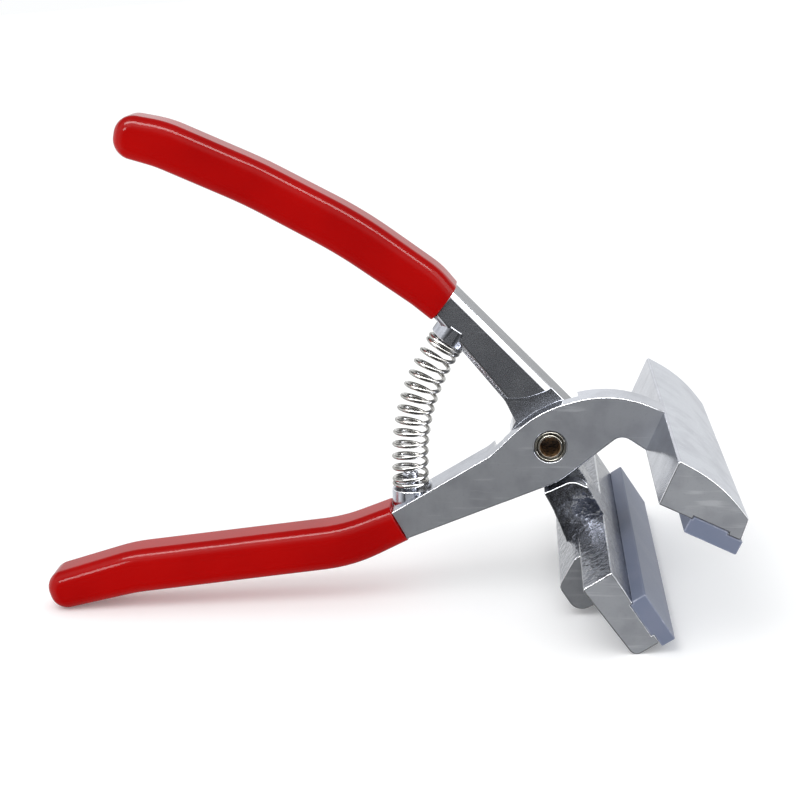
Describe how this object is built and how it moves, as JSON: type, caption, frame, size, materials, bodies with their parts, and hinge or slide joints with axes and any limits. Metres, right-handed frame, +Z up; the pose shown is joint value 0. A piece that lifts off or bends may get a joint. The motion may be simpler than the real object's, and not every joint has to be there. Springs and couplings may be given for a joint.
{
  "type": "canvas stretching pliers",
  "caption": "Hand pliers with two very wide padded jaws, a lap pivot on a hollow rivet, a coil return spring between the handles, and dipped grips.",
  "frame": {"origin": "on the pivot's axis, halfway through the two lapped levers", "axes": "+X towards the jaws, +Y along the pivot from the front lever to the rear lever, +Z up from the lower handle to the upper handle, with the pliers fully open"},
  "size_m": [0.2227, 0.12, 0.1628],
  "materials": {
    "casting": "bright plated die casting, satin on the broad faces and polished on the edges",
    "pad": "smooth slate blue resilient plastic",
    "grip": "glossy red dipped vinyl",
    "rivet": "nickel plated steel, dull in the hole",
    "washer": "nickel plated steel",
    "spring_wire": "bright nickel plated spring wire"
  },
  "bodies": {
    "front_body": {"front_lever": "casting", "upper_pad": "pad", "lower_grip": "grip", "pivot_rivet": "rivet", "front_washer": "washer", "rear_washer": "washer", "return_spring": "spring_wire"},
    "rear_body": {"rear_lever": "casting", "lower_pad": "pad", "upper_grip": "grip"}
  },
  "joints": [
    {"name": "squeeze", "type": "hinge", "parent": "front_body", "child": "rear_body", "pos_m": [0, 0, 0], "axis": [0, -1, 0], "range_deg": [0, 32], "stiffness_Nm_per_rad": 7.5, "springref_deg": -2.86, "deforming": ["return_spring"]}
  ]
}
